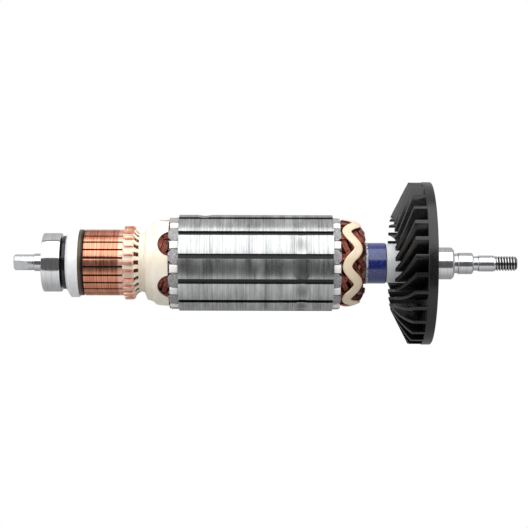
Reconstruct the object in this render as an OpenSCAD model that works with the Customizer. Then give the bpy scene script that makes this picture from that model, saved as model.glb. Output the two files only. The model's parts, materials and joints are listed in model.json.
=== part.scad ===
// Motor armature: a wound rotor with its commutator, bearing, fan and shaft.
// The shaft axis is X. +X points to the threaded drive end, and the origin is
// on the axis, at the middle of the drive-end journal.
// Every piece is drawn along Z and turned onto X by on_axis().

/* [Drive-end shaft] */
// Diameter of the drive-end bearing journal
journal_d = 12; // [11:0.1:14]
// Length of the drive-end bearing journal
journal_len = 8; // [6:0.5:14]
// Length of the taper at the end of the journal
journal_taper = 0.8; // [0.4:0.1:1.2]
// Length of the relief groove after the journal
relief_len = 1.8; // [1.2:0.1:3]
// Diameter of the pinion seat
pinion_d = 8; // [7:0.1:9]
// Length of the pinion seat
pinion_len = 5.5; // [4:0.5:12]
// Length of the relief groove after the pinion seat
nose_relief_len = 2.1; // [1.2:0.1:3]
// Diameter of the plain nose
nose_d = 6; // [6:0.1:6.6]
// Length of the plain nose
nose_len = 5.9; // [4:0.5:12]
// Major diameter of the threaded end
thread_d = 5.6; // [5:0.1:5.6]
// Length of the threaded end
thread_len = 8.5; // [6:0.5:14]
// Depth of the relief grooves
relief_depth = 0.3; // [0.2:0.05:0.4]
// Chamfer on the shaft's edges
shaft_chamfer = 0.5; // [0.2:0.1:0.8]

/* [Commutator-end shaft] */
// Diameter of the bearing seat
bearing_seat_d = 7; // [6.8:0.1:8]
// Length of the bearing seat that shows in front of the bearing
seat_show_len = 0.8; // [0.4:0.1:2]
// Diameter of the collar in front of the bearing seat
neck_d = 6.6; // [6.2:0.1:6.8]
// Length of that collar
neck_len = 2.8; // [1:0.2:5]
// Diameter of the shaft tip
tip_d = 5.9; // [5:0.1:6.1]
// Length of the shaft tip
tip_len = 7.6; // [6:0.2:12]
// Distance from the axis to the flats on the tip
flat_r = 2.2; // [1.8:0.1:2.6]
// Length of the flats
flat_len = 6.4; // [4:0.2:7]
// Diameter of the shaft under the core and the commutator
core_seat_d = 10; // [9:0.2:10.6]
// Diameter of the shaft under the fan, its collar and the sleeve
fan_seat_d = 12.6; // [12.2:0.1:13]

/* [Bearing] */
// Outside diameter of the bearing
bearing_d = 22; // [21:0.2:24]
// Width of the bearing
bearing_w = 7; // [6:0.2:9]
// Diameter of the balls
ball_d = 3.97; // [3.4:0.01:4.2]
// Number of balls
ball_count = 7; // [6:1:8]
// Corner radius of the rings
ring_corner = 0.5; // [0.2:0.1:0.8]
// Thickness of the seals
seal_t = 0.6; // [0.4:0.1:0.8]

/* [Dust ring and washer] */
// Diameter of the dust ring
dust_ring_d = 20; // [16:0.5:22]
// Thickness of the dust ring
dust_ring_t = 1.6; // [1:0.1:2.5]
// Diameter of the insulation washer
washer_d = 26.1; // [22:0.5:30]
// Thickness of the insulation washer
washer_t = 4.8; // [3:0.1:7]
// Length of the chamfer on the washer's front
washer_chamfer = 1.4; // [0.5:0.1:2]

/* [Commutator] */
// Diameter over the bars
bar_d = 24.7; // [22:0.1:27]
// Length of the bars without their hooks
bar_len = 14.9; // [10:0.5:22]
// Number of bars and hooks
bar_count = 24; // [24:12:24]
// Width of the slots between the bars
bar_slot = 0.7; // [0.5:0.05:0.9]
// Radial thickness of a bar
bar_t = 3.4; // [2.5:0.1:4]
// Depth of the undercut between the bars
undercut = 0.8; // [0.4:0.1:1.2]
// Length of the front ring of the moulding
front_ring_len = 1.7; // [1:0.1:3]
// Chamfer at the front of the bars
bar_chamfer = 0.5; // [0.2:0.1:0.8]
// Length of the hooks
hook_len = 4.3; // [3.4:0.1:5.5]
// Width of a hook
hook_w = 1.45; // [1:0.05:1.8]
// Thickness of the hook strip
hook_t = 0.7; // [0.5:0.05:0.8]
// Height of a hook over the bars
hook_rise = 1.5; // [1.3:0.05:2]

/* [Lamination stack] */
// Diameter of the stack
stack_d = 36; // [34:0.2:40]
// Length of the stack
stack_len = 57.2; // [40:0.5:80]
// Number of slots and coils
slot_count = 12; // [12:1:12]
// Width of a slot's mouth
slot_mouth = 1.9; // [1.4:0.1:2.4]
// Thickness of a tooth's tip at the slot's mouth
tip_t = 0.9; // [0.6:0.1:1.2]
// Width of a tooth
tooth_w = 3; // [2.6:0.1:3.4]
// Distance from the axis to the bottom of the slots
slot_floor_r = 9.9; // [9.6:0.1:10.3]
// Width of a balance cut
balance_w = 6.6; // [4:0.2:8]
// Depth of a balance cut
balance_depth = 0.6; // [0.3:0.05:0.9]
// Distance from the balance cuts on four teeth to the drive-end face
balance_pos = 11.7; // [8:0.5:20]
// Distance from the single balance cut to the commutator-end face
balance_back_pos = 9.6; // [6:0.5:20]

/* [Insulation] */
// Diameter of the end insulators
insulator_d = 34.9; // [32:0.2:35.4]
// Thickness of the end insulators
insulator_t = 3.1; // [2:0.1:4]
// Width of an insulator's arms
arm_w = 2.9; // [2:0.1:3]
// Thickness of the slot liners
liner_t = 0.25; // [0.15:0.05:0.35]
// Length that liners and wedges stand out at the commutator end
liner_out = 3.6; // [3.2:0.1:4]
// Length that liners and wedges stand out at the drive end
liner_out_drive = 2.8; // [2:0.1:3]
// Wall of the insulation tube on the shaft
tube_wall = 0.9; // [0.6:0.05:1.2]

/* [Windings and resin] */
// Radial thickness of a coil side in the upper layer
coil_h = 2.6; // [1.8:0.1:2.8]
// Width of a coil side in the upper layer
coil_w = 2.4; // [1.8:0.1:2.5]
// Radial thickness of a coil side in the lower layer
lower_h = 2.1; // [1.6:0.1:2.2]
// Width of a coil side in the lower layer
lower_w = 1.7; // [1.4:0.1:1.8]
// Thickness of a coil in the end turns
turn_t = 1.9; // [1.5:0.1:2]
// Number of slots that a coil spans
coil_span = 5; // [5:1:5]
// Length from the stack to the end of the commutator-end windings
comm_turn_len = 11.9; // [11:0.5:16]
// Length from the stack to the end of the drive-end windings
drive_turn_len = 12.3; // [12:0.5:16]
// Diameter of the lead wires
lead_d = 0.8; // [0.5:0.05:0.9]
// Length of the resin neck between the hooks and the windings
resin_neck_len = 4.5; // [3.5:0.25:7]
// Wall of the resin shell
resin_wall = 0.8; // [0.6:0.05:1]
// Number of windows in the edge of the resin shell
window_count = 6; // [4:1:8]
// Width of a window
window_w = 10; // [6:0.5:10.5]
// Depth of a window
window_depth = 3.9; // [2:0.1:4.5]
// Width of the resin bead on the drive-end windings
bead_w = 3.6; // [2.5:0.1:4]
// Thickness of that bead
bead_t = 1; // [0.7:0.1:1.4]
// Number of the bead's zigzags
bead_waves = 7; // [5:1:9]
// Height of the bead's zigzags
bead_swing = 4; // [2:0.1:4.2]

/* [Sleeve and collar] */
// Diameter of the blue sleeve
sleeve_d = 15.3; // [14.5:0.1:18]
// Length of the blue sleeve
sleeve_len = 7.8; // [5:0.2:12]
// Diameter of the white collar
collar_d = 14.7; // [14:0.1:17]
// Length of the white collar
collar_len = 9.7; // [7.6:0.1:14]

/* [Fan] */
// Diameter of the fan
fan_d = 61; // [54:0.5:68]
// Thickness of the fan's rim
rim_t = 3.6; // [2.5:0.1:5]
// Thickness of the fan's web
web_t = 2; // [1.2:0.1:2.4]
// Width of the fan's rim behind the web
rim_w = 3; // [2:0.2:5]
// Number of blades
blade_count = 29; // [19:2:31]
// Thickness of a blade
blade_t = 1.1; // [0.8:0.05:1.4]
// Length of a blade at its outer end
blade_tip_len = 4.5; // [3:0.1:7]
// Length that the blades' inner ends stand further forward
blade_rise = 6.4; // [4:0.1:7]
// Diameter at the blades' inner ends
blade_eye_d = 36; // [30:0.5:40]
// Lean of the blades from the radius, in degrees
blade_lean = 40; // [20:1:45]
// Diameter of the fan's hub
hub_d = 20; // [17:0.5:24]
// Length of the hub in front of the web
hub_len = 3.4; // [2:0.1:5]

/* [Fits] */
// Clearance between bonded or pressed round faces
bond_gap = 0.03; // [0.02:0.01:0.06]
// Gap between coils, leads and what lies next to them
wire_gap = 0.1; // [0.08:0.01:0.15]
// Gap between turning pieces
turn_gap = 0.3; // [0.2:0.05:0.4]
// Running clearance of the balls
ball_gap = 0.03; // [0.02:0.01:0.05]

/* [Hidden] */
fine_fn = 96;
mid_fn = 64;
small_fn = 24;
over = 1;                 // how far a cutter runs past a face
axis_deg = 90;            // turns Z onto X
side_deg = -90;           // the angle that faces -Y
slot_phase = 22.4;        // a slot's angle below -Y
slot_pitch = 360 / slot_count;
bar_pitch = 360 / bar_count;
blade_pitch = 360 / blade_count;
blade_phase = -4.9;
bead_phase = 4.5;
window_phase = -26;
dip = turn_t * 0.37;      // how far the end turns lie below the coils in the slots
nose_drop = drive_turn_len * 0.195; // how far the end turns close in at their ends

// Stations along the axis, from the journal's middle
journal_z = -journal_len / 2;
relief_z = journal_len / 2 + journal_taper;
pinion_z = relief_z + relief_len;
nose_relief_z = pinion_z + pinion_len;
nose_z = nose_relief_z + nose_relief_len;
thread_z = nose_z + nose_len;
shaft_end_z = thread_z + thread_len;
web_z = journal_z - rim_t;
blade_tip_z = web_z - blade_tip_len;
blade_eye_z = blade_tip_z - blade_rise;
hub_z = web_z - hub_len;
collar_z = hub_z - collar_len;
sleeve_z = collar_z - sleeve_len;
stack_end_z = sleeve_z - drive_turn_len;
stack_z = stack_end_z - stack_len;
comm_turn_z = stack_z - comm_turn_len;
hook_end_z = comm_turn_z - resin_neck_len;
bar_end_z = hook_end_z - hook_len;
bar_z = bar_end_z - bar_len;
front_ring_z = bar_z - front_ring_len;
washer_z = front_ring_z - washer_t;
dust_ring_z = washer_z - dust_ring_t;
bearing_end_z = dust_ring_z - turn_gap;
bearing_z = bearing_end_z - bearing_w;
seat_z = bearing_z - seat_show_len;
neck_z = seat_z - neck_len;
tip_z = neck_z - tip_len;

// Radii
stack_r = stack_d / 2;
bar_r = bar_d / 2;
bar_floor_r = bar_r - bar_t;
tube_bore_r = core_seat_d / 2 + bond_gap;
tube_r = tube_bore_r + tube_wall;
seat_bore_r = fan_seat_d / 2 + bond_gap;
liner_gap = bond_gap + liner_t + wire_gap;
wedge_t = tip_t * 2 / 3;
slot_top_r = stack_r - tip_t;
wedge_r = slot_top_r - wedge_t - bond_gap;
coil_r = wedge_r - wire_gap - liner_t - coil_h / 2;
lower_r = slot_floor_r + liner_gap + lower_h / 2;
dip_r = coil_r + coil_h / 2 - dip - turn_t / 2;
slope_gap = wire_gap * 3; // radial gap between the two layers of an end turn

// Bearing geometry: the balls' circle lies midway between bore and outside
race_mid_r = (bearing_seat_d + bearing_d) / 4;
groove_r = ball_d / 2 * 1.04;
inner_shoulder_r = race_mid_r - ball_d * 0.36;
outer_shoulder_r = race_mid_r + ball_d * 0.4;
cage_w = ball_d * 1.13;
cage_t = ball_d * 0.227;
seal_inset = bearing_w / 28;

function pad(i) = i < 10 ? str("0", i) : str(i);
bar_names = [for (i = [1:bar_count]) str("commutator_bar_", pad(i))];
coil_names = [for (i = [1:slot_count]) str("coil_", pad(i))];

// ---- Helpers -------------------------------------------------------------

module on_axis() { rotate([0, axis_deg, 0]) children(); }

// Places a copy at each of n equal steps round the axis, from an angle below -Y
module ring_of(n, phase = 0) {
    for (i = [0:n - 1]) rotate([0, 0, side_deg + phase + i * 360 / n]) children();
}

// A turned piece, from pairs of radius and station
module turned(profile, facets = fine_fn) { rotate_extrude($fn = facets) polygon(profile); }

// A tube between two stations
module tube(r_in, r_out, z0, z1, facets = fine_fn) {
    turned([[r_in, z0], [r_out, z0], [r_out, z1], [r_in, z1]], facets);
}

// Width of a slot at a radius, for teeth with parallel sides
function slot_width(r) = 2 * r * tan(slot_pitch / 2) - tooth_w / cos(slot_pitch / 2);

// Outline of a slot's body, shrunk by a margin, with X as the radius
function slot_outline(margin) =
    let (r0 = slot_floor_r + margin, r1 = wedge_r + wedge_t + bond_gap - margin,
         side = margin / cos(slot_pitch / 2),
         w0 = slot_width(slot_floor_r + margin) / 2 - side,
         w1 = slot_width(r1) / 2 - side)
    [[r0, -w0], [r1, -w1], [r1, w1], [r0, w0]];

// ---- Swept bundles -------------------------------------------------------
// A station is [angle, radius, z, up_radial, up_axial, width, height].

function spot(s) = [s[1] * cos(s[0]), s[1] * sin(s[0]), s[2]];
function up_of(s) = [s[3] * cos(s[0]), s[3] * sin(s[0]), s[4]];
function unit(v) = v / norm(v);

// The four corners of the bundle at a station
function corners(s, heading) =
    let (w = unit(cross(heading, up_of(s))), h = unit(cross(w, heading)),
         dw = w * s[5] / 2, dh = h * s[6] / 2, p = spot(s))
    [p - dw - dh, p + dw - dh, p + dw + dh, p - dw + dh];

// Triangles of one band of a swept bundle, from ring a to ring b
function band(a, b) = [for (k = [0:3]) let (m = (k + 1) % 4)
    each [[a + k, b + k, b + m], [a + k, b + m, a + m]]];

// A closed loop through its stations
module swept_loop(path) {
    n = len(path);
    rings = [for (i = [0:n - 1])
        corners(path[i], spot(path[(i + 1) % n]) - spot(path[(i + n - 1) % n]))];
    points = [for (ring = rings) each ring];
    faces = [for (i = [0:n - 1]) each band(4 * i, 4 * ((i + 1) % n))];
    polyhedron(points, faces);
}

// An open run through its stations, with flat ends
module swept_run(path) {
    n = len(path);
    rings = [for (i = [0:n - 1])
        corners(path[i], spot(path[min(i + 1, n - 1)]) - spot(path[max(i - 1, 0)]))];
    points = [for (ring = rings) each ring];
    last = 4 * (n - 1);
    faces = concat([[0, 1, 2], [0, 2, 3]],
        [for (i = [0:n - 2]) each band(4 * i, 4 * (i + 1))],
        [[last, last + 2, last + 1], [last, last + 3, last + 2]]);
    polyhedron(points, faces);
}

// ---- Shaft ---------------------------------------------------------------

module shaft() {
    r_tip = tip_d / 2;
    r_neck = neck_d / 2;
    r_bearing = bearing_seat_d / 2;
    r_core = core_seat_d / 2;
    r_fan = fan_seat_d / 2;
    r_journal = journal_d / 2;
    r_pinion = pinion_d / 2;
    r_nose = nose_d / 2;
    r_thread = thread_d / 2;
    shoulder_z = bearing_end_z;
    fan_seat_z = sleeve_z;
    c = shaft_chamfer;
    tip_cham = c / 2;
    root_r = r_thread - c;
    color("silver") on_axis() difference() {
        turned([
            [0, tip_z], [r_tip - c, tip_z], [r_tip, tip_z + c],
            [r_tip, neck_z], [r_neck - tip_cham, neck_z], [r_neck, neck_z + tip_cham],
            [r_neck, seat_z], [r_bearing - tip_cham / 2, seat_z], [r_bearing, seat_z + tip_cham],
            [r_bearing, shoulder_z], [r_core, shoulder_z],
            [r_core, fan_seat_z], [r_fan, fan_seat_z],
            [r_fan, journal_z], [r_journal, journal_z],
            [r_journal, -journal_z], [r_journal - journal_taper, relief_z],
            [r_pinion - relief_depth, relief_z], [r_pinion - relief_depth, pinion_z - relief_depth],
            [r_pinion, pinion_z], [r_pinion, nose_relief_z - c], [r_pinion - c, nose_relief_z],
            [r_nose - relief_depth, nose_relief_z], [r_nose - relief_depth, nose_z - relief_depth],
            [r_nose, nose_z], [r_nose, thread_z - tip_cham], [r_thread, thread_z],
            [r_thread, shaft_end_z - c - relief_depth], [root_r, shaft_end_z], [0, shaft_end_z]]);
        for (side = [0, 180]) rotate([0, 0, side_deg + flat_turn + side]) tip_flat();
    }
}

// The angle of the tip's flats below -Y
flat_turn = 28;

// One milled flat with the curved run-out that the cutter leaves
module tip_flat() {
    cutter_r = 2 * tip_d;
    depth = tip_d / 2 - flat_r;
    run = sqrt(cutter_r * cutter_r - (cutter_r - depth) * (cutter_r - depth));
    reach = tip_d / 2 + over;
    translate([flat_r, -reach, tip_z - over])
        cube([reach, 2 * reach, flat_len - run + over]);
    translate([flat_r + cutter_r, 0, tip_z + flat_len - run])
        rotate([90, 0, 0]) cylinder(r = cutter_r, h = 2 * reach, center = true, $fn = fine_fn);
}

// ---- Bearing -------------------------------------------------------------

// A ring of the bearing: a rectangle with rounded corners on one side
module ring_profile(r0, r1, groove_mid) {
    difference() {
        translate([r0, bearing_z]) square([r1 - r0, bearing_w]);
        translate([groove_mid, bearing_z + bearing_w / 2]) circle(r = groove_r, $fn = small_fn * 2);
    }
}

// The rounded edge that is cut off a ring's outside corners
module corner_cut(r, z, dir_r, dir_z) {
    c = ring_corner;
    polygon([[r + dir_r * over, z + dir_z * over], [r + dir_r * over, z - dir_z * c],
             [r, z - dir_z * c], [r - dir_r * c * 0.3, z - dir_z * c * 0.3],
             [r - dir_r * c, z], [r - dir_r * c, z + dir_z * over]]);
}

module bearing_outer_ring() {
    r = bearing_d / 2;
    color("silver") on_axis() rotate_extrude($fn = fine_fn) difference() {
        ring_profile(outer_shoulder_r, r, race_mid_r + ball_d / 2 + ball_gap - groove_r);
        corner_cut(r, bearing_z, 1, -1);
        corner_cut(r, bearing_end_z, 1, 1);
    }
}

module bearing_inner_ring() {
    r = bearing_seat_d / 2 + bond_gap;
    color("silver") on_axis() rotate_extrude($fn = mid_fn)
        ring_profile(r, inner_shoulder_r, race_mid_r - ball_d / 2 - ball_gap + groove_r);
}

module bearing_balls() {
    color("silver") on_axis() ring_of(ball_count)
        translate([race_mid_r, 0, bearing_z + bearing_w / 2]) sphere(d = ball_d, $fn = small_fn);
}

module bearing_cage() {
    mid_z = bearing_z + bearing_w / 2;
    color("goldenrod") on_axis() difference() {
        tube(race_mid_r - cage_t / 2, race_mid_r + cage_t / 2, mid_z - cage_w / 2, mid_z + cage_w / 2, mid_fn);
        ring_of(ball_count) translate([race_mid_r, 0, mid_z]) rotate([0, 90, 0])
            cylinder(r = ball_d / 2 + wire_gap, h = 2 * ball_d, center = true, $fn = small_fn);
    }
}

// A seal sits in the outer ring's mouth and clears the inner ring
module bearing_seal(z) {
    tube(inner_shoulder_r + turn_gap, outer_shoulder_r - bond_gap, z, z + seal_t, mid_fn);
}

module bearing_seal_outer() { color("dimgray") on_axis() bearing_seal(bearing_z + seal_inset); }

module bearing_seal_inner() {
    color([0.12, 0.12, 0.12]) on_axis() bearing_seal(bearing_end_z - seal_inset - seal_t);
}

// ---- Dust ring and washer ------------------------------------------------

module dust_ring() {
    r = dust_ring_d / 2;
    z = washer_z;
    edge = dust_ring_t / 4;
    color([0.08, 0.08, 0.08]) on_axis() turned([
        [tube_bore_r, dust_ring_z], [r - edge, dust_ring_z], [r, dust_ring_z + edge],
        [r, z - edge / 2], [r - edge / 2, z], [tube_bore_r, z]], mid_fn);
}

module insulation_washer() {
    r = washer_d / 2;
    edge = washer_chamfer / 4;
    front_r = r - washer_chamfer * 2;
    color("white") on_axis() turned([
        [tube_bore_r, washer_z], [front_r, washer_z], [r - edge, washer_z + washer_chamfer],
        [r, washer_z + washer_chamfer + edge], [r, front_ring_z - edge], [r - edge, front_ring_z],
        [tube_bore_r, front_ring_z]]);
}

// ---- Commutator ----------------------------------------------------------

// The moulding: a sleeve, a front ring, and a rib in each slot between the bars
module commutator_core() {
    rib_r = bar_r - undercut;
    ring_r = bar_r + bond_gap;
    edge = front_ring_len / 6;
    color([0.22, 0.2, 0.12]) on_axis() {
        turned([
            [tube_bore_r, front_ring_z], [ring_r - edge, front_ring_z], [ring_r, front_ring_z + edge],
            [ring_r, bar_z - bond_gap - edge], [ring_r - edge, bar_z - bond_gap],
            [bar_floor_r - bond_gap, bar_z - bond_gap], [bar_floor_r - bond_gap, hook_end_z],
            [tube_bore_r, hook_end_z]]);
        ring_of(bar_count, slot_phase)
            translate([bar_floor_r - over, -bar_slot / 2 + bond_gap, bar_z - over])
                cube([rib_r - bar_floor_r + over, bar_slot - 2 * bond_gap, bar_len + over]);
    }
}

// The side outline of a hook: a strip that folds up and back over the wire
function hook_outline() = let (
        r0 = bar_r - hook_t, r1 = bar_r, r2 = bar_r + hook_rise - hook_t, r3 = bar_r + hook_rise,
        z0 = bar_end_z, z1 = hook_end_z, free_z = bar_end_z + hook_t / 2,
        outer = hook_t + (r2 - r1) / 2, inner = (r2 - r1) / 2, mid_r = (r1 + r2) / 2, bend_z = z1 - outer)
    concat([[r0, z0 - over], [r0, bend_z]],
        [for (a = [-60:30:60]) [mid_r + outer * sin(a), bend_z + outer * cos(a)]],
        [[r3, bend_z], [r3, free_z + hook_t / 3], [r3 - hook_t / 3, free_z], [r2, free_z], [r2, bend_z]],
        [for (a = [60:-30:-60]) [mid_r + inner * sin(a), bend_z + inner * cos(a)]],
        [[r1, bend_z], [r1, z0 - over]]);

// One copper bar with its hook
module commutator_bar(i) {
    half = bar_pitch / 2;
    wide = bar_r / cos(half) + over;
    gap = bar_slot / 2 / sin(half);
    color([0.72, 0.45, 0.2]) on_axis() rotate([0, 0, side_deg + slot_phase + (i - 0.5) * bar_pitch]) {
        intersection() {
            turned([
                [bar_floor_r, bar_z], [bar_r - bar_chamfer, bar_z], [bar_r, bar_z + bar_chamfer],
                [bar_r, bar_end_z], [bar_floor_r, bar_end_z]]);
            translate([0, 0, bar_z - over]) linear_extrude(bar_len + 2 * over)
                polygon([[gap, 0], [wide, -(wide - gap) * tan(half)], [wide, (wide - gap) * tan(half)]]);
        }
        translate([0, hook_w / 2, 0]) rotate([90, 0, 0]) linear_extrude(hook_w) polygon(hook_outline());
    }
}

// ---- Core ----------------------------------------------------------------

module slot_profile() {
    polygon(slot_outline(0));
    translate([slot_top_r - bond_gap, -slot_mouth / 2]) square([tip_t + over, slot_mouth]);
}

// A scoop across a tooth, cut by a disc whose axis is square to the shaft
module balance_cut(z, scale_w = 1) {
    cutter_r = balance_w * balance_w / (8 * balance_depth);
    tooth_len = 2 * stack_r * sin(slot_pitch / 2) * scale_w;
    translate([stack_r + cutter_r - balance_depth * scale_w, 0, z])
        rotate([90, 0, 0]) cylinder(r = cutter_r, h = tooth_len, center = true, $fn = fine_fn);
}

module lamination_stack() {
    tooth_phase = slot_phase - slot_pitch / 2;
    color([0.5, 0.5, 0.5]) on_axis() difference() {
        translate([0, 0, stack_z]) linear_extrude(stack_len) difference() {
            circle(r = stack_r, $fn = fine_fn);
            circle(r = tube_r + bond_gap, $fn = mid_fn);
            ring_of(slot_count, slot_phase) slot_profile();
        }
        for (k = [-1:2]) rotate([0, 0, side_deg + tooth_phase + k * slot_pitch])
            balance_cut(stack_end_z - balance_pos, 1 + 0.05 * k);
        rotate([0, 0, side_deg + tooth_phase - 3 * slot_pitch]) balance_cut(stack_z + balance_back_pos);
    }
}

// ---- Insulation ----------------------------------------------------------

// A star of arms on a ring, one arm on each tooth
module end_insulator(z, thick) {
    ring_r = slot_floor_r - bond_gap;
    translate([0, 0, z]) linear_extrude(thick) difference() {
        union() {
            circle(r = ring_r, $fn = mid_fn);
            ring_of(slot_count, slot_phase + slot_pitch / 2)
                translate([0, -arm_w / 2]) square([insulator_d / 2, arm_w]);
        }
        circle(r = tube_r + bond_gap, $fn = mid_fn);
    }
}

module comm_end_insulator() {
    color("ivory") on_axis() end_insulator(stack_z - insulator_t, insulator_t);
}

module drive_end_insulator() {
    color("ivory") on_axis() end_insulator(stack_end_z, liner_out_drive - 2 * wire_gap);
}

// A folded paper channel in each slot, open toward the slot's mouth
module slot_liners() {
    inner_top_r = slot_top_r + over;
    color("lightgray") on_axis() ring_of(slot_count, slot_phase)
        translate([0, 0, stack_z - liner_out])
            linear_extrude(liner_out + stack_len + liner_out_drive) difference() {
            polygon(slot_outline(bond_gap));
            polygon(slot_outline(bond_gap + liner_t));
            translate([wedge_r - bond_gap, -slot_top_r]) square([inner_top_r - wedge_r, 2 * slot_top_r]);
        }
}

module slot_wedges() {
    half_w = slot_width(wedge_r) / 2 - bond_gap - wire_gap;
    point = half_w / 2;
    z0 = stack_z - liner_out;
    z1 = stack_end_z + liner_out_drive;
    color("gray") on_axis() ring_of(slot_count, slot_phase)
        translate([wedge_r, 0, 0]) rotate([90, 0, 90]) linear_extrude(wedge_t)
            polygon([[-half_w, z0 + point], [-point, z0], [point, z0], [half_w, z0 + point],
                     [half_w, z1 - point], [point, z1], [-point, z1], [-half_w, z1 - point]]);
}

module shaft_insulation() {
    color("tan") on_axis() tube(tube_bore_r, tube_r, hook_end_z, sleeve_z);
}

// ---- Windings ------------------------------------------------------------

turn_steps = 5;
turn_deg = coil_span * slot_pitch / 2;

// Mid radius of the upper and the lower layer, from the slots (t = 0) to the nose (t = 1)
function upper_mid(t) = dip_r - nose_drop * (0.12 * t + 0.88 * t * t * t);
function lower_mid(t) = lower_r - (lower_r - upper_mid(1) + turn_t + slope_gap) * t * t;

// Stations of an end turn, from the upper side to the lower one, and how they close.
// dir is 1 at the drive end and -1 at the commutator end.
function end_turn(face_z, out, length, dir) = let (
        bend_z = face_z + dir * out, nose_end_z = face_z + dir * (length - turn_t / 2 - wire_gap),
        rise = nose_end_z - bend_z)
    concat(
        [[0, coil_r, face_z, 1, 0, coil_w, coil_h],
         [0, dip_r, bend_z, 1, 0, turn_t, turn_t]],
        [for (k = [1:turn_steps]) let (t = k / (turn_steps + 1))
            [turn_deg * t, upper_mid(t), bend_z + rise * t, 1, 0, turn_t, turn_t]],
        [[turn_deg, (upper_mid(1) + lower_mid(1)) / 2, nose_end_z, 0, dir, turn_t, turn_t]],
        [for (k = [turn_steps:-1:1]) let (t = k / (turn_steps + 1))
            [turn_deg * (2 - t), lower_mid(t), bend_z + rise * t, -1, 0, turn_t, turn_t]],
        [[2 * turn_deg, lower_r, bend_z, -1, 0, lower_w, lower_h],
         [2 * turn_deg, lower_r, face_z, -1, 0, lower_w, lower_h]]);

function reversed(list) = [for (i = [len(list) - 1:-1:0]) list[i]];

module coil(i) {
    drive = end_turn(stack_end_z, liner_out_drive, drive_turn_len, 1);
    comm = end_turn(stack_z, liner_out, comm_turn_len - 1.5 * resin_wall, -1);
    color([0.55, 0.27, 0.12]) on_axis() rotate([0, 0, side_deg + slot_phase + i * slot_pitch])
        swept_loop(concat(drive, reversed(comm)));
}

// A lead from each hook runs under the resin neck to the windings
module lead_wires() {
    z0 = hook_end_z + wire_gap;
    z1 = comm_turn_z - wire_gap * 2;
    r0 = bar_r - hook_t;
    r1 = resin_neck_r - resin_wall - lead_d;
    d = lead_d;
    color([0.65, 0.3, 0.15]) on_axis() ring_of(bar_count, slot_phase + bar_pitch / 2) swept_run([
        [0, r0, z0, 1, 0, d, d],
        [0, (r0 + r1) / 2, z0 + d, 1, 0, d, d],
        [bar_pitch / 2, r1, (z0 + z1) / 2, 1, 0, d, d],
        [bar_pitch, r1, z1, 1, 0, d, d]]);
}

// ---- Resin ---------------------------------------------------------------

turn_top_r = dip_r + turn_t / 2;
resin_neck_r = bar_r - hook_rise;
resin_front_r = turn_top_r - nose_drop + 1.1 * resin_wall;
resin_shoulder_r = turn_top_r + 0.6 * resin_wall;
resin_top_r = turn_top_r + 1.5 * resin_wall;

// The shell over the hooks' roots, the neck and the commutator-end windings
module comm_end_resin() {
    w = resin_wall;
    root_r = bar_r + hook_t / 2;
    z0 = bar_end_z + wire_gap;
    z1 = hook_end_z;
    z2 = (hook_end_z + comm_turn_z) / 2;
    z3 = comm_turn_z;
    z4 = stack_z - liner_out - wire_gap;
    step = (z4 - z3) / 8;
    window_r = (window_w * window_w / 4 + window_depth * window_depth) / (2 * window_depth);
    color([0.95, 0.92, 0.82]) on_axis() difference() {
        turned([
            [bar_r - hook_t - w, z0], [root_r, z0], [root_r, z1], [resin_neck_r + w, z1 + w],
            [resin_neck_r, z2], [resin_neck_r + w / 2, z3 - w * 1.3],
            [resin_front_r - w * 1.5, z3 - w * 0.6], [resin_front_r, z3],
            [resin_front_r + w / 3, z3 + step], [resin_front_r + w, z3 + 2.2 * step],
            [resin_shoulder_r - w / 4, z3 + 3.2 * step], [resin_shoulder_r, z3 + 4 * step],
            [resin_top_r, z4], [resin_top_r - w, z4],
            [resin_shoulder_r - w, z3 + 4.2 * step], [resin_front_r + w / 2, z3 + 2.4 * step],
            [resin_front_r - w, z3 + step], [resin_front_r - 1.2 * w, z3], [resin_neck_r - w, z3],
            [resin_neck_r - w, z2], [resin_neck_r, z1 + w * 1.1], [bar_r - hook_t - w, z1]]);
        ring_of(bar_count, slot_phase + bar_pitch / 2)
            translate([0, -hook_w / 2 - wire_gap / 2, z0 - over])
                cube([root_r + over, hook_w + wire_gap, hook_end_z - z0 + over + 2 * lead_d]);
        ring_of(window_count, window_phase) translate([0, 0, z4 - window_depth + window_r]) rotate([0, 90, 0])
            cylinder(r = window_r, h = stack_r, $fn = mid_fn);
    }
}

// The zigzag bead that runs round the drive-end windings and lies on them
module drive_end_resin() {
    steps = 8 * bead_waves;
    rise = drive_turn_len - turn_t / 2 - wire_gap - liner_out_drive;
    mid_z = insulator_t + wire_gap + (bead_w + bead_swing) / 2;
    color([0.9, 0.85, 0.72]) on_axis() swept_loop([for (k = [0:steps - 1])
        let (a = 360 * k / steps, z = mid_z - cos(a * bead_waves) * bead_swing / 2,
             t = (z - liner_out_drive) / rise, fall = (upper_mid(t - 0.1) - upper_mid(t + 0.1)) / (0.2 * rise))
        [side_deg + a + bead_phase, upper_mid(t) + (turn_t + bead_t) / 2 + wire_gap * 2, stack_end_z + z,
         1, fall, bead_w, bead_t]]);
}

// ---- Sleeve, collar and fan ----------------------------------------------

module insulation_sleeve() {
    r = sleeve_d / 2;
    edge = (sleeve_d - fan_seat_d) / 8;
    color("mediumblue") on_axis() turned([
        [seat_bore_r, sleeve_z], [r, sleeve_z], [r + edge / 2, sleeve_z + edge], [r, sleeve_z + 3 * edge],
        [r, collar_z - edge], [r - edge, collar_z], [seat_bore_r, collar_z]], mid_fn);
}

module fan_collar() {
    r = collar_d / 2;
    edge = (collar_d - fan_seat_d) / 6;
    color("whitesmoke") on_axis() turned([
        [seat_bore_r, collar_z], [r - edge, collar_z], [r, collar_z + edge],
        [r, hub_z], [seat_bore_r, hub_z]], mid_fn);
}

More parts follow.
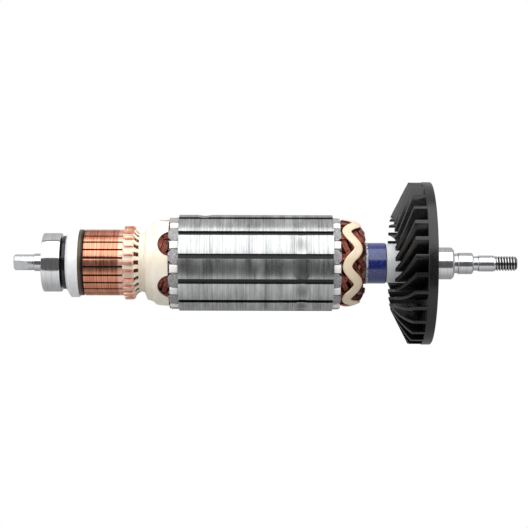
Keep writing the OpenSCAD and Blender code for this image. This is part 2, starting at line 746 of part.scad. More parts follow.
// A blade's outline: a logarithmic spiral with a constant lean
function blade_outline() = let (
        r0 = blade_eye_d / 2, r1 = fan_d / 2 - blade_t / 8, steps = 5,
        arc = [for (k = [0:steps]) let (r = r0 + (r1 - r0) * k / steps,
            a = tan(blade_lean) * ln(r1 / r) * 180 / PI) [r, a]],
        side = blade_t / 2 / cos(blade_lean))
    concat([for (p = arc) let (d = side / p[0] * 180 / PI) [p[0] * cos(p[1] - d), p[0] * sin(p[1] - d)]],
           [for (k = [steps:-1:0]) let (p = arc[k], d = side / p[0] * 180 / PI)
               [p[0] * cos(p[1] + d), p[0] * sin(p[1] + d)]]);

module fan() {
    r = fan_d / 2;
    edge = rim_t / 12;
    r_eye = blade_eye_d / 2;
    slope = blade_rise / (r - r_eye);
    color([0.1, 0.1, 0.1]) on_axis() {
        turned([
            [seat_bore_r, hub_z], [hub_d / 2 - edge, hub_z], [hub_d / 2, hub_z + edge],
            [hub_d / 2, web_z], [r - edge, web_z], [r, web_z + edge],
            [r, journal_z - edge], [r - edge, journal_z], [r - rim_w, journal_z],
            [r - rim_w, web_z + web_t], [hub_d / 2, web_z + web_t], [hub_d / 2, journal_z],
            [seat_bore_r, journal_z]]);
        intersection() {
            ring_of(blade_count, blade_phase)
                translate([0, 0, blade_eye_z - over])
                    linear_extrude(web_z - blade_eye_z + over + web_t / 2) polygon(blade_outline());
            turned([
                [r_eye - over, web_z + web_t / 2], [r_eye - over, blade_eye_z - slope * over],
                [r + over, blade_tip_z + slope * over], [r + over, web_z + web_t / 2]]);
        }
    }
}

shaft();
bearing_outer_ring();
bearing_inner_ring();
bearing_balls();
bearing_cage();
bearing_seal_outer();
bearing_seal_inner();
dust_ring();
insulation_washer();
commutator_core();
for (i = [1:bar_count]) commutator_bar(i);
for (i = [1:slot_count]) coil(i);
lead_wires();
comm_end_resin();
comm_end_insulator();
lamination_stack();
drive_end_insulator();
slot_liners();
slot_wedges();
drive_end_resin();
shaft_insulation();
insulation_sleeve();
fan_collar();
fan();
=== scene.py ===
import json
import math
import random

import bmesh
import bpy
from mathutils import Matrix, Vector, noise

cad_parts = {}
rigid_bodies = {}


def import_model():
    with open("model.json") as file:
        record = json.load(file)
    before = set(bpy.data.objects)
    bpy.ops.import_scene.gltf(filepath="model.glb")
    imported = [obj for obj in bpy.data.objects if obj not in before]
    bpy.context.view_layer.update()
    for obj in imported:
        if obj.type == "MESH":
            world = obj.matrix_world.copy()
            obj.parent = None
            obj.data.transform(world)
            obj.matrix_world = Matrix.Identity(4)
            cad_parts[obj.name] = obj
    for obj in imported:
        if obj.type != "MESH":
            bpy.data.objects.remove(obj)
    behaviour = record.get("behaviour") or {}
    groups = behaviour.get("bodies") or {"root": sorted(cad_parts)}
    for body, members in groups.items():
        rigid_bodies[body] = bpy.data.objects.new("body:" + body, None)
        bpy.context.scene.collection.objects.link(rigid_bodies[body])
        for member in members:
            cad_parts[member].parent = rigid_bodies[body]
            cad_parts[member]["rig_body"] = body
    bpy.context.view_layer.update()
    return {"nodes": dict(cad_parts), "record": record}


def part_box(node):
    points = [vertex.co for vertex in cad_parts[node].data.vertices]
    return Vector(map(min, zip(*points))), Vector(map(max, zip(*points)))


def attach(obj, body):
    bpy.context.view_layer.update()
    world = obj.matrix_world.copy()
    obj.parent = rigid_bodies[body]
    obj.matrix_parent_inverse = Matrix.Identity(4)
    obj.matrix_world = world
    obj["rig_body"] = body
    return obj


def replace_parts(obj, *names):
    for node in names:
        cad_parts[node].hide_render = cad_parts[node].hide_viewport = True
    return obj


MM = 0.001
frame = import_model()
nodes = frame["nodes"]

# ---- Stations read from the CAD nodes, in metres -----------------------------
core_lo, core_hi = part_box("lamination_stack")
STACK0, STACK1 = core_lo.x, core_hi.x
STACK_R = (core_hi.z - core_lo.z) / 2
SHAFT_START, SHAFT_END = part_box("shaft")[0].x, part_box("shaft")[1].x
BAR0, BAR1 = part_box("commutator_bar_01")[0].x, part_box("commutator_bar_01")[1].x
HOOK_LEN = 4.3 * MM
HOOK0 = BAR1 - HOOK_LEN
HUB0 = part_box("fan_collar")[1].x
SLEEVE0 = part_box("insulation_sleeve")[0].x
THREAD_R, THREAD_LEN, PITCH = 2.8 * MM, 8.5 * MM, 1.04 * MM
THREAD0 = SHAFT_END - THREAD_LEN
SLOT_PHASE = 22.4
SLOTS = 12
BARS = 24


# ---- Node helpers -------------------------------------------------------------
class Tree:
    """A short way to write a material's nodes."""

    def __init__(self, name):
        self.mat = bpy.data.materials.new(name)
        self.mat.use_nodes = True
        self.nt = self.mat.node_tree
        self.nt.nodes.clear()
        self.out = self.nt.nodes.new("ShaderNodeOutputMaterial")
        self.bsdf = self.nt.nodes.new("ShaderNodeBsdfPrincipled")
        self.nt.links.new(self.bsdf.outputs["BSDF"], self.out.inputs["Surface"])
        self.coord = self.nt.nodes.new("ShaderNodeTexCoord").outputs["Object"]
        sep = self.nt.nodes.new("ShaderNodeSeparateXYZ")
        self.put(sep.inputs[0], self.coord)
        self.x, self.y, self.z = sep.outputs

    def put(self, socket, value):
        if isinstance(value, bpy.types.NodeSocket):
            self.nt.links.new(value, socket)
        else:
            socket.default_value = value

    def set(self, **values):
        for key, value in values.items():
            self.put(self.bsdf.inputs[key.replace("_", " ")], value)
        return self

    def math(self, op, a, b=0.0, clamp=False):
        n = self.nt.nodes.new("ShaderNodeMath")
        n.operation, n.use_clamp = op, clamp
        self.put(n.inputs[0], a)
        self.put(n.inputs[1], b)
        return n.outputs[0]

    def radius(self):
        squares = self.math("POWER", self.y, 2.0), self.math("POWER", self.z, 2.0)
        return self.math("SQRT", self.math("ADD", *squares))

    def stretched(self, scale):
        n = self.nt.nodes.new("ShaderNodeMapping")
        self.put(n.inputs["Vector"], self.coord)
        n.inputs["Scale"].default_value = scale
        return n.outputs[0]

    def noise(self, vector, scale=1.0, detail=3.0, rough=0.55):
        n = self.nt.nodes.new("ShaderNodeTexNoise")
        self.put(n.inputs["Vector"], vector)
        n.inputs["Scale"].default_value = scale
        n.inputs["Detail"].default_value = detail
        n.inputs["Roughness"].default_value = rough
        return n.outputs[0]

    def ramp(self, value, stops, mode="LINEAR"):
        n = self.nt.nodes.new("ShaderNodeValToRGB")
        n.color_ramp.interpolation = mode
        el = n.color_ramp.elements
        while len(el) < len(stops):
            el.new(0.5)
        for e, (pos, col) in zip(el, stops):
            e.position = pos
            e.color = (*col, 1.0) if isinstance(col, tuple) else (col, col, col, 1.0)
        self.put(n.inputs[0], value)
        return n.outputs[0]

    def span(self, value, a, b, c, d):
        """value from a..b to c..d, held at both ends"""
        n = self.nt.nodes.new("ShaderNodeMapRange")
        for i, v in enumerate((value, a, b, c, d)):
            self.put(n.inputs[i], v)
        return n.outputs[0]

    def between(self, value, a, b, soft):
        """1 where value lies between a and b, 0 outside"""
        rise, fall = self.span(value, a - soft, a, 0.0, 1.0), self.span(value, b, b + soft, 1.0, 0.0)
        return self.math("MULTIPLY", rise, fall)

    def blend(self, factor, a, b):
        n = self.nt.nodes.new("ShaderNodeMix")
        n.data_type = "RGBA"
        self.put(n.inputs[0], factor)
        for i, v in ((6, a), (7, b)):
            self.put(n.inputs[i], (*v, 1.0) if isinstance(v, tuple) else v)
        return n.outputs[2]

    def bump(self, height, distance, strength=1.0):
        n = self.nt.nodes.new("ShaderNodeBump")
        n.inputs["Strength"].default_value = strength
        n.inputs["Distance"].default_value = distance
        self.put(n.inputs["Height"], height)
        self.put(self.bsdf.inputs["Normal"], n.outputs[0])
        return self


def lin(r, g, b):
    """sRGB bytes to linear."""
    return tuple(c / 255 / 12.92 if c <= 10.3 else ((c / 255 + 0.055) / 1.055) ** 2.4 for c in (r, g, b))


# ---- Materials -----------------------------------------------------------------
def ring_metal(name, low, high, rough, marks, depth, spread=0.04):
    """Metal with rings of grinding marks round the X axis."""
    t = Tree(name)
    rings = t.noise(t.stretched((marks, 60, 60)), 1.0, 4.0, 0.7)
    blotch = t.noise(t.coord, 350.0, 3.0)
    t.set(Base_Color=t.ramp(rings, [(0.3, low), (0.7, high)]), Metallic=1.0,
          Roughness=t.span(blotch, 0.3, 0.7, rough - spread, rough + spread))
    return t.bump(rings, depth).mat


def plain(name, low, high, rough, scale, depth, spread=0.08, **extra):
    """A non-metal with a soft mottle and a fine grain."""
    t = Tree(name)
    mottle = t.noise(t.coord, scale, 4.0)
    t.set(Base_Color=t.ramp(mottle, [(0.3, low), (0.7, high)]),
          Roughness=t.span(mottle, 0.3, 0.7, rough - spread, rough + spread), **extra)
    return t.bump(t.noise(t.coord, scale * 6, 3.0), depth).mat


def shaft_steel():
    """Ground steel: a milled satin tip at one end, and at the other painted shade darkening the thread
    grooves.
    """
    t = Tree("ground_steel")
    rings = t.noise(t.stretched((4000, 60, 60)), 1.0, 4.0, 0.7)
    # painted shade: steel below the thread's crest is darkened to stand in for the shade in the grooves
    painted_groove_shade = t.math("MULTIPLY", t.span(t.radius(), THREAD_R - 0.5 * MM, THREAD_R - 0.08 * MM, 1.0, 0.0),
                    t.span(t.x, THREAD0 - 0.01 * MM, THREAD0 + 0.3 * MM, 0.0, 1.0))
    tip = t.span(t.x, SHAFT_START + 7.0 * MM, SHAFT_START + 7.2 * MM, 1.0, 0.0)
    steel = t.ramp(rings, [(0.3, lin(176, 177, 180)), (0.7, lin(222, 222, 224))])
    t.set(Base_Color=t.blend(painted_groove_shade, steel, lin(70, 68, 66)), Metallic=1.0,
          Roughness=t.math("ADD", t.span(t.noise(t.coord, 350.0), 0.3, 0.7, 0.13, 0.21),
                           t.math("MULTIPLY", tip, 0.16)))
    return t.bump(rings, 2e-6).mat


def bar_copper():
    """Turned copper: a brushed track, a bright shoulder before the hooks and pale pink hooks."""
    t = Tree("bar_copper")
    rings = t.noise(t.stretched((2600, 30, 30)), 1.0, 4.0, 0.7)
    wear = t.noise(t.stretched((500, 120, 120)), 1.0, 3.0)
    mark = t.math("ADD", t.math("MULTIPLY", rings, 0.65), t.math("MULTIPLY", wear, 0.35))
    track = t.ramp(mark, [(0.34, lin(150, 82, 60)), (0.48, lin(206, 134, 106)), (0.64, lin(238, 172, 144))])
    shoulder = t.span(t.x, HOOK0 - 1.9 * MM, HOOK0 - 1.3 * MM, 0.0, 1.0)
    hooks = t.ramp(wear, [(0.3, lin(238, 176, 152)), (0.7, lin(252, 206, 186))])
    t.set(Base_Color=t.blend(shoulder, track, hooks), Metallic=1.0,
          Roughness=t.math("ADD", t.span(wear, 0.3, 0.7, 0.22, 0.34), t.math("MULTIPLY", shoulder, 0.12)))
    return t.bump(rings, 6e-6).mat


def phenolic():
    """Moulded resin with an olive front ring; from just before the bars it is near-black, partly the resin's
    own dark colour and partly painted shade in the groove and the gaps between the bars.
    """
    t = Tree("phenolic")
    grain = t.noise(t.coord, 900.0, 4.0)
    ring = t.ramp(grain, [(0.3, lin(58, 50, 30)), (0.7, lin(96, 84, 54))])
    # near-black from about 0.7 mm before the bars: partly dark resin, partly painted shade for the groove and
    # the gaps between the bars
    dark_resin_and_painted_shade = t.span(t.x, BAR0 - 0.75 * MM, BAR0 - 0.65 * MM, 0.0, 1.0)
    t.set(Base_Color=t.blend(dark_resin_and_painted_shade, ring, lin(20, 12, 9)), Roughness=t.span(grain, 0.3, 0.7, 0.3, 0.42))
    return t.bump(grain, 8e-6).mat


def wire_copper():
    t = Tree("wire_copper")
    shade = t.noise(t.coord, 700.0, 3.0)
    dust = t.noise(t.coord, 2600.0, 2.0)
    enamel = t.ramp(shade, [(0.3, lin(84, 32, 22)), (0.55, lin(134, 60, 42)), (0.75, lin(176, 98, 70))])
    t.set(Base_Color=enamel, Metallic=0.55, Roughness=t.span(shade, 0.3, 0.7, 0.2, 0.36),
          Coat_Weight=0.4, Coat_Roughness=0.15)
    return t.bump(dust, 5e-6).mat


def lamination_steel():
    """Ground sheet-metal edges: fine lines across the axis, patchy tone, and painted shade darkening the slot
    walls and anything else below the teeth's outer surface.
    """
    t = Tree("lamination_steel")
    fine = t.noise(t.stretched((2600, 25, 25)), 1.0, 3.0, 0.7)
    broad = t.noise(t.stretched((300, 70, 70)), 1.0, 4.0, 0.65)
    tone = t.math("ADD", t.math("MULTIPLY", fine, 0.55), t.math("MULTIPLY", broad, 0.45))
    face = t.ramp(tone, [(0.34, lin(128, 130, 130)), (0.5, lin(176, 178, 178)), (0.66, lin(214, 216, 216))])
    # painted shade: steel more than a quarter millimetre below the teeth's outer radius is darkened
    painted_slot_shade = t.span(t.radius(), STACK_R - 1.0 * MM, STACK_R - 0.25 * MM, 1.0, 0.0)
    t.set(Base_Color=t.blend(painted_slot_shade, face, lin(46, 44, 42)), Metallic=1.0,
          Roughness=t.span(broad, 0.3, 0.7, 0.22, 0.36))
    return t.bump(fine, 14e-6).mat


def slot_paper():
    """Grey fibre wedges: speckled where they stick out; along the core's length they are painted near-black
    as shade in the slots.
    """
    t = Tree("slot_paper")
    speck = t.noise(t.coord, 2400.0, 3.0, 0.7)
    outside = t.ramp(speck, [(0.32, lin(104, 102, 104)), (0.5, lin(146, 144, 146)),
                             (0.66, lin(192, 190, 192))])
    # painted shade: the wedges are made near-black where they lie within the stack's length
    painted_core_shade = t.between(t.x, STACK0 + 0.2 * MM, STACK1 - 0.2 * MM, 0.2 * MM)
    t.set(Base_Color=t.blend(painted_core_shade, outside, lin(30, 28, 27)), Roughness=t.span(speck, 0.3, 0.7, 0.36, 0.6))
    return t.bump(speck, 12e-6).mat


def cream_resin():
    """Poured resin with soft lumps, yellower on the drive-end bead."""
    t = Tree("cream_resin")
    soft = t.noise(t.coord, 240.0, 3.0)
    drip = t.noise(t.stretched((500, 180, 180)), 1.0, 2.0)
    shell = t.ramp(soft, [(0.3, lin(238, 226, 204)), (0.7, lin(248, 241, 226))])
    bead = t.ramp(soft, [(0.3, lin(222, 202, 170)), (0.7, lin(236, 218, 190))])
    drive = t.span(t.x, -0.07, -0.06, 0.0, 1.0)
    t.set(Base_Color=t.blend(drive, shell, bead), Roughness=t.span(soft, 0.3, 0.7, 0.3, 0.46),
          Coat_Weight=0.3, Coat_Roughness=0.3)
    return t.bump(drip, 60e-6, 0.7).mat


def fibre():
    t = Tree("fibre")
    speck = t.noise(t.coord, 1600.0, 3.0)
    t.set(Base_Color=t.ramp(speck, [(0.3, lin(238, 234, 230)), (0.7, lin(252, 250, 248))]),
          Roughness=t.span(speck, 0.3, 0.7, 0.5, 0.66))
    return t.bump(speck, 16e-6).mat


def blue_sleeve():
    """Shrunk blue tubing: wrinkles round the axis, painted glints as pale cyan flecks in its colour, a pale
    frayed end toward the windings.
    """
    t = Tree("blue_sleeve")
    wrinkle = t.noise(t.stretched((900, 160, 160)), 1.0, 3.0, 0.6)
    glint_fleck = t.noise(t.coord, 1500.0, 3.0, 0.7)
    # painted glints: the palest stop, pale cyan, stands in for highlights on the glossy tubing
    blue = t.ramp(glint_fleck, [(0.35, lin(20, 22, 84)), (0.6, lin(24, 44, 136)), (0.72, lin(40, 140, 205))])
    frayed = t.math("MULTIPLY", t.span(t.x, SLEEVE0 + 0.7 * MM, SLEEVE0 + 1.0 * MM, 1.0, 0.0),
                    t.span(glint_fleck, 0.44, 0.5, 0.0, 1.0))
    t.set(Base_Color=t.blend(frayed, blue, lin(226, 228, 236)), Roughness=t.span(glint_fleck, 0.3, 0.7, 0.14, 0.3),
          Coat_Weight=0.7, Coat_Roughness=0.08)
    return t.bump(wrinkle, 90e-6).mat


def fan_plastic():
    """Black moulding with rough silvery-white crumpled flecks round the hub's front."""
    t = Tree("fan_plastic")
    grain = t.noise(t.coord, 700.0, 4.0)
    crumple = t.noise(t.coord, 900.0, 4.0, 0.75)
    black = t.ramp(grain, [(0.3, lin(10, 10, 11)), (0.7, lin(22, 22, 24))])
    silver_crumple = t.ramp(crumple, [(0.4, lin(40, 38, 36)), (0.47, lin(150, 148, 146)), (0.58, lin(232, 232, 232))])
    hub = t.math("MULTIPLY", t.span(t.x, HUB0 + 1.3 * MM, HUB0 + 2.6 * MM, 1.0, 0.0),
                 t.span(t.radius(), 10.0 * MM, 11.0 * MM, 1.0, 0.0))
    edge = t.math("MULTIPLY", hub, t.span(crumple, 0.36, 0.46, 0.0, 1.0))
    t.set(Base_Color=t.blend(edge, black, silver_crumple), Roughness=t.span(grain, 0.3, 0.7, 0.2, 0.34))
    return t.bump(grain, 14e-6).mat


MATS = {
    "ground_steel": shaft_steel(),
    "bearing_steel": ring_metal("bearing_steel", lin(200, 201, 204), lin(232, 232, 234),
                                0.10, 2500, 0.6e-6, 0.03),
    "black_rubber": plain("black_rubber", lin(22, 22, 23), lin(38, 38, 39), 0.5, 900, 10e-6),
    "black_gloss": plain("black_gloss", lin(12, 12, 13), lin(24, 24, 26), 0.2, 700, 4e-6, 0.05),
    "white_plastic": plain("white_plastic", lin(232, 234, 236), lin(244, 245, 246), 0.38, 500, 5e-6),
    "phenolic": phenolic(),
    "bar_copper": bar_copper(),
    "wire_copper": wire_copper(),
    "cream_resin": cream_resin(),
    "fibre": fibre(),
    "lamination_steel": lamination_steel(),
    "slot_paper": slot_paper(),
    "tube_fibre": plain("tube_fibre", lin(196, 182, 142), lin(216, 204, 168), 0.55, 900, 10e-6),
    "cage_brass": plain("cage_brass", lin(186, 150, 84), lin(206, 172, 104), 0.3, 900, 4e-6, Metallic=1.0),
    "blue_sleeve": blue_sleeve(),
    "fan_plastic": fan_plastic(),
}

SLOT_OF = {s["node"]: s["material_slot"] for s in frame["record"]["subparts"]}


def paint(obj, slot):
    obj.data.materials.clear()
    obj.data.materials.append(MATS[slot])
    return obj


for name, obj in nodes.items():
    paint(obj, SLOT_OF[name])


# ---- Mesh helpers ----------------------------------------------------------------
def link(name, mesh, slot, body):
    obj = bpy.data.objects.new(name, mesh)
    bpy.context.scene.collection.objects.link(obj)
    paint(obj, slot)
    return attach(obj, body)


def make(name, verts, faces, slot, body="rotor", sharp=None):
    mesh = bpy.data.meshes.new(name)
    mesh.from_pydata([tuple(v) for v in verts], [], faces)
    mesh.validate()
    mesh.update()
    mesh.polygons.foreach_set("use_smooth", [True] * len(mesh.polygons))
    if sharp:
        mesh.set_sharp_from_angle(angle=math.radians(sharp))
    return link(name, mesh, slot, body)


def world_at(deg, r, x):
    """A point at an angle below -Y, a radius and a station."""
    a = math.radians(deg)
    return Vector((x, -r * math.cos(a), -r * math.sin(a)))


def loft(rings, closed_rings, closed_path):
    """Faces between rings of equal length."""
    n, m = len(rings), len(rings[0])
    verts = [p for ring in rings for p in ring]
    faces = []
    for i in range(n if closed_path else n - 1):
        j = (i + 1) % n
        for k in range(m if closed_rings else m - 1):
            l = (k + 1) % m
            faces.append((i * m + k, i * m + l, j * m + l, j * m + k))
    return verts, faces


def soften(node, bevel=0.0, sharp=32, over=40):
    """A CAD node's copy with smooth shading, and with its outer edges rounded off when bevel is set."""
    body = nodes[node]["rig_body"]
    bm = bmesh.new()
    bm.from_mesh(nodes[node].data)
    bmesh.ops.remove_doubles(bm, verts=bm.verts, dist=2e-7)
    if bevel:
        bmesh.ops.dissolve_limit(bm, angle_limit=math.radians(0.6), verts=bm.verts[:], edges=bm.edges[:])
        edges = [e for e in bm.edges if e.is_manifold and e.is_convex
                 and e.calc_face_angle(0) > math.radians(over) and e.calc_length() > bevel * 0.4]
        bmesh.ops.bevel(bm, geom=edges, offset=bevel, segments=2, profile=0.5,
                        affect="EDGES", clamp_overlap=True)
    mesh = bpy.data.meshes.new(node + "_look")
    bm.to_mesh(mesh)
    bm.free()
    for a in [a.name for a in mesh.attributes if a.name == "custom_normal"]:
        mesh.attributes.remove(mesh.attributes[a])
    mesh.polygons.foreach_set("use_smooth", [True] * len(mesh.polygons))
    mesh.set_sharp_from_angle(angle=math.radians(sharp))
    obj = link(node + "_look", mesh, SLOT_OF[node], body)
    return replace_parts(obj, node)


# ---- Threaded shaft: the CAD shaft with a helical thread cut in its end -----------
def threaded_shaft():
    src = nodes["shaft"].data
    verts = [v.co.copy() for v in src.vertices]
    eps = 1e-5
    keep = [tuple(p.vertices) for p in src.polygons
            if not all(verts[i].x > THREAD0 - eps for i in p.vertices)]
    used = sorted({i for f in keep for i in f})
    index = {v: k for k, v in enumerate(used)}
    out_v = [verts[i] for i in used]
    out_f = [tuple(index[i] for i in f) for f in keep]
    turns, around, depth = THREAD_LEN / PITCH, 72, 0.55 * MM
    steps = int(turns * 18)
    rings = []
    for i in range(steps + 1):
        x = THREAD0 + THREAD_LEN * i / steps
        ring = []
        for k in range(around):
            phase = ((x - THREAD0) / PITCH - k / around) % 1.0
            saw = min(1.0, max(0.0, (abs(phase - 0.5) * 2 - 0.14) / 0.62))
            fade = min(1.0, max(0.0, (x - THREAD0) / (0.9 * PITCH)))
            r = THREAD_R - depth * (1 - saw) * fade
            r = min(r, THREAD_R - (x - (SHAFT_END - 0.8 * MM)) * 0.9) if x > SHAFT_END - 0.8 * MM else r
            ring.append(world_at(360 * k / around, r, x))
        rings.append(ring)
    v, f = loft(rings, True, False)
    base = len(out_v)
    out_v += v
    out_f += [tuple(i + base for i in face) for face in f]
    out_v.append(Vector((SHAFT_END, 0, 0)))
    last = base + steps * around
    out_f += [(last + k, last + (k + 1) % around, len(out_v) - 1) for k in range(around)]
    bm = bmesh.new()
    mesh = bpy.data.meshes.new("shaft_threaded")
    mesh.from_pydata([tuple(v) for v in out_v], [], out_f)
    bm.from_mesh(mesh)
    bmesh.ops.remove_doubles(bm, verts=bm.verts, dist=2e-7)
    bmesh.ops.recalc_face_normals(bm, faces=bm.faces)
    bm.to_mesh(mesh)
    bm.free()
    mesh.polygons.foreach_set("use_smooth", [True] * len(mesh.polygons))
    mesh.set_sharp_from_angle(angle=math.radians(30))
    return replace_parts(link("shaft_threaded", mesh, "ground_steel", "rotor"), "shaft")


# ---- Windings: strands that follow the CAD coils ----------------------------------
# Sizes in mm, as in the part's source
TURN_T, COIL_W, COIL_H, LOWER_W, LOWER_H = 1.9, 2.4, 2.6, 1.7, 2.1
DRIVE_LEN, DRIVE_OUT, COMM_LEN, COMM_OUT = 12.3, 2.8, 11.9 - 1.2, 3.6
INSULATOR_T, LINER_T, WIRE_GAP = 3.1, 0.25, 0.1
TIP_T, WEDGE_SPACE, SLOT_FLOOR_R, LINER_SPACE = 0.9, 0.63, 9.9, 0.38
TURN_DEG = 75
SLOT_TOP = STACK_R / MM - TIP_T
COIL_R = SLOT_TOP - WEDGE_SPACE - WIRE_GAP - LINER_T - COIL_H / 2
DIP_R = COIL_R + COIL_H / 2 - TURN_T * 0.37 - TURN_T / 2
LOWER_R = SLOT_FLOOR_R + LINER_SPACE + LOWER_H / 2
DROP = DRIVE_LEN * 0.195


def upper_mid(t):
    return DIP_R - DROP * (0.12 * t + 0.88 * t ** 3)


def lower_mid(t):
    return LOWER_R - (LOWER_R - upper_mid(1) + TURN_T + 0.3) * t * t


def end_turn(face, out, length, way):
    """Rows of angle, radius, station, up (radial, axial), width and height of a coil's end turn."""
    bend, nose = face + way * out, face + way * (length - TURN_T / 2 - WIRE_GAP)
    rise = nose - bend
    rows = [(0, COIL_R, face, 1, 0, COIL_W, COIL_H), (0, DIP_R, bend, 1, 0, TURN_T, TURN_T)]
    rows += [(TURN_DEG * t, upper_mid(t), bend + rise * t, 1, 0, TURN_T, TURN_T)
             for t in (k / 6 for k in range(1, 6))]
    rows.append((TURN_DEG, (upper_mid(1) + lower_mid(1)) / 2, nose, 0, way, TURN_T, TURN_T))
    rows += [(TURN_DEG * (2 - t), lower_mid(t), bend + rise * t, -1, 0, TURN_T, TURN_T)
             for t in (k / 6 for k in range(5, 0, -1))]
    rows += [(2 * TURN_DEG, LOWER_R, x, -1, 0, LOWER_W, LOWER_H) for x in (bend, face)]
    return rows


def coil_rows():
    drive = end_turn(STACK1 / MM, DRIVE_OUT, DRIVE_LEN, 1)
    return drive + end_turn(STACK0 / MM, COMM_OUT, COMM_LEN, -1)[::-1]


def catmull(p0, p1, p2, p3, t):
    square, cube = 2 * p0 - 5 * p1 + 4 * p2 - p3, 3 * p1 - p0 - 3 * p2 + p3
    return 0.5 * ((2 * p1) + (p2 - p0) * t + square * t * t + cube * t ** 3)


def round_path(path, d, sides):
    """Rings of a round wire along a closed path."""
    rings = []
    for k, p in enumerate(path):
        head = (path[(k + 1) % len(path)] - path[k - 1]).normalized()
        side = head.cross(Vector((0, p.y, p.z))).normalized()
        up = side.cross(head)
        rings.append([p + (side * math.cos(q) + up * math.sin(q)) * d * 0.5
                      for q in (math.tau * j / sides for j in range(sides))])
    return rings


def winding(i, rng):
    rows = coil_rows()
    n = len(rows)
    turn = SLOT_PHASE + i * 360 / SLOTS
    spots = [world_at(r[0] + turn, r[1] * MM, r[2] * MM) for r in rows]
    ups = [world_at(r[0] + turn, r[3], r[4]) for r in rows]
    frames = []
    for k in range(n):
        head = spots[(k + 1) % n] - spots[k - 1]
        w = head.cross(ups[k]).normalized()
        frames.append((w, w.cross(head).normalized()))

    def at(k, u, v, jw=0.0, jh=0.0):
        w, h = frames[k]
        return spots[k] + w * (u * rows[k][5] + jw) * MM + h * (v * rows[k][6] + jh) * MM

    def along(line):
        path = []
        for k in range(n):
            steps = 1 if (line[(k + 1) % n] - line[k]).length > 20 * MM else 3
            for s in range(steps):
                path.append(catmull(line[k - 1], line[k], line[(k + 1) % n], line[(k + 2) % n], s / steps)
                            if steps > 1 else line[k])
        return path

    verts, faces = [], []

    def add(rings):
        v, f = loft(rings, True, True)
        faces.extend(tuple(x + len(verts) for x in face) for face in f)
        verts.extend(v)

    # A solid middle under the outer strands
    corners = ((-0.38, -0.38), (0.38, -0.38), (0.38, 0.38), (-0.38, 0.38))
    lines = [along([at(k, u, v) for k in range(n)]) for u, v in corners]
    add([list(ring) for ring in zip(*lines)])
    across, high, d = 5, 4, 0.43 * MM
    for a in range(across):
        for b in range(high):
            if 0 < a < across - 1 and 0 < b < high - 1:
                continue
            u, v = (a + 0.5) / across - 0.5, (b + 0.5) / high - 0.5
            jw, jh = rng.uniform(-0.07, 0.07), rng.uniform(-0.06, 0.06)
            line = [at(k, u, v, jw + rng.uniform(-0.03, 0.03), jh + rng.uniform(-0.03, 0.03))
                    for k in range(n)]
            add(round_path(along(line), d, 6))
    obj = make(f"winding_{i:02d}", verts, faces, "wire_copper", sharp=70)
    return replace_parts(obj, f"coil_{i:02d}")


# ---- The zigzag bead over the drive-end windings -----------------------------------
def zigzag_bead():
    width, thick, swing, waves, steps = 3.6, 1.0, 4.0, 7, 7 * 40
    rise = DRIVE_LEN - TURN_T / 2 - WIRE_GAP - DRIVE_OUT
    mid = INSULATOR_T + WIRE_GAP + (width + swing) / 2
    line = []
    for k in range(steps):
        a = 360 * k / steps
        z = mid - math.cos(math.radians(a * waves)) * swing / 2
        t = (z - DRIVE_OUT) / rise
        fall = (upper_mid(t - 0.1) - upper_mid(t + 0.1)) / (0.2 * rise)
        r = upper_mid(t) + (TURN_T + thick) / 2 + 2 * WIRE_GAP
        deg = a + 4.5
        line.append((world_at(deg, r * MM, STACK1 + z * MM), world_at(deg, 1, fall)))
    rings = []
    for k in range(steps):
        p, up = line[k]
        head = line[(k + 1) % steps][0] - line[k - 1][0]
        w = head.cross(up).normalized()
        h = w.cross(head).normalized()
        ring = []
        for q in range(20):
            a = math.tau * q / 20
            c, s = math.cos(a), math.sin(a)
            u = math.copysign(abs(c) ** 0.6, c) * width / 2
            v = math.copysign(abs(s) ** 0.75, s) * thick / 2
            spot = p + w * u * MM + h * v * MM
            lump = noise.noise(spot * 260) * 0.16 - 0.08
            ring.append(spot + (spot - p).normalized() * lump * MM)
        rings.append(ring)
    v, f = loft(rings, True, True)
    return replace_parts(make("drive_resin_bead", v, f, "cream_resin"), "drive_end_resin")


rng = random.Random(7)
threaded_shaft()
for i in range(1, SLOTS + 1):
    winding(i, rng)
zigzag_bead()
soften("lamination_stack", 0.12 * MM, sharp=14)
for node, bevel in (("fan", 0.16 * MM), ("comm_end_insulator", 0.2 * MM),
                    ("drive_end_insulator", 0.2 * MM), ("slot_wedges", 0.08 * MM), ("comm_end_resin", 0.0),
                    ("insulation_washer", 0.0), ("bearing_outer_ring", 0.0), ("bearing_inner_ring", 0.0),
                    ("bearing_seal_outer", 0.0), ("bearing_seal_inner", 0.0), ("dust_ring", 0.0),
                    ("commutator_core", 0.0), ("insulation_sleeve", 0.0), ("fan_collar", 0.0)):
    soften(node, bevel)
for i in range(1, BARS + 1):
    soften(f"commutator_bar_{i:02d}", 0.1 * MM)

# ---- Stage, light and camera --------------------------------------------------------
floor_mesh = bpy.data.meshes.new("floor")
floor_mesh.from_pydata([(-6, -6, -0.13), (6, -6, -0.13), (6, 6, -0.13), (-6, 6, -0.13)], [], [(0, 1, 2, 3)])
floor = bpy.data.objects.new("floor", floor_mesh)
bpy.context.scene.collection.objects.link(floor)
floor.visible_diffuse = floor.visible_glossy = floor.visible_shadow = floor.visible_transmission = False
fm = bpy.data.materials.new("floor_white")
fm.use_nodes = True
nt = fm.node_tree
nt.nodes.clear()
out = nt.nodes.new("ShaderNodeOutputMaterial")
glow, clear = nt.nodes.new("ShaderNodeEmission"), nt.nodes.new("ShaderNodeBsdfTransparent")
mix = nt.nodes.new("ShaderNodeMixShader")
glow.inputs["Strength"].default_value = 1.0
back = nt.nodes.new("ShaderNodeNewGeometry")
nt.links.new(back.outputs["Backfacing"], mix.inputs[0])
nt.links.new(glow.outputs[0], mix.inputs[1])
nt.links.new(clear.outputs[0], mix.inputs[2])
nt.links.new(mix.outputs[0], out.inputs["Surface"])
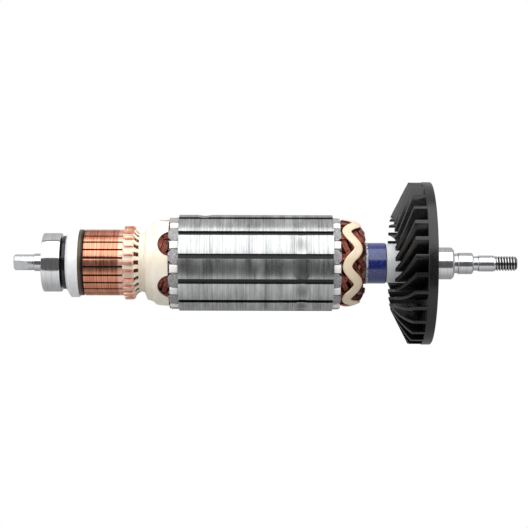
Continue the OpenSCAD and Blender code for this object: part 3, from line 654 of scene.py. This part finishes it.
floor_mesh.materials.append(fm)

world = bpy.data.worlds.new("studio")
bpy.context.scene.world = world
world.use_nodes = True
nt = world.node_tree
nt.nodes.clear()
tc = nt.nodes.new("ShaderNodeTexCoord")
sep = nt.nodes.new("ShaderNodeSeparateXYZ")
nt.links.new(tc.outputs["Generated"], sep.inputs[0])


def wmath(op, a, b=0.0):
    n = nt.nodes.new("ShaderNodeMath")
    n.operation = op
    for s, v in zip(n.inputs, (a, b)):
        if isinstance(v, bpy.types.NodeSocket):
            nt.links.new(v, s)
        else:
            s.default_value = v
    return n.outputs[0]


elev = wmath("ARCTAN2", sep.outputs[2], wmath("MULTIPLY", sep.outputs[1], -1.0))
frac = wmath("ADD", wmath("DIVIDE", elev, math.tau), 0.5)
# Brightness by the angle over the camera's side, in degrees: a softbox in front and above, a dark camera side
BANDS = [(-180, 0.35), (-100, 0.5), (-36, 1.0), (-32, 0.14), (17, 0.14), (21, 2.4),
         (90, 2.4), (93, 0.12), (97, 0.12), (100, 0.75), (180, 0.5)]
PEAK = 3.0
ramp = nt.nodes.new("ShaderNodeValToRGB")
el = ramp.color_ramp.elements
while len(el) < len(BANDS):
    el.new(0.5)
for e, (deg, v) in zip(el, BANDS):
    e.position = (deg + 180) / 360
    e.color = (v / PEAK, v / PEAK, v / PEAK, 1)
nt.links.new(frac, ramp.inputs[0])
light = nt.nodes.new("ShaderNodeBackground")
nt.links.new(ramp.outputs[0], light.inputs["Color"])
light.inputs["Strength"].default_value = PEAK
white = nt.nodes.new("ShaderNodeBackground")
white.inputs["Color"].default_value = (1, 1, 1, 1)
path = nt.nodes.new("ShaderNodeLightPath")
pick = nt.nodes.new("ShaderNodeMixShader")
nt.links.new(path.outputs["Is Camera Ray"], pick.inputs[0])
nt.links.new(light.outputs[0], pick.inputs[1])
nt.links.new(white.outputs[0], pick.inputs[2])
wout = nt.nodes.new("ShaderNodeOutputWorld")
nt.links.new(pick.outputs[0], wout.inputs["Surface"])

cam_data = bpy.data.cameras.new("camera")
cam = bpy.data.objects.new("camera", cam_data)
bpy.context.scene.collection.objects.link(cam)
bpy.context.scene.camera = cam
cam_data.sensor_width = 36
cam_data.angle = math.radians(18.88)
cam_data.shift_x, cam_data.shift_y = 0.017, -0.0021
cam_data.clip_start, cam_data.clip_end = 0.01, 50
cam.location = (-0.0697, -0.597, 0.0)
cam.rotation_euler = (math.radians(90), math.radians(-0.158), 0)

view = bpy.context.scene.view_settings
view.view_transform, view.look, view.exposure, view.gamma = "Standard", "None", 0.0, 1.0
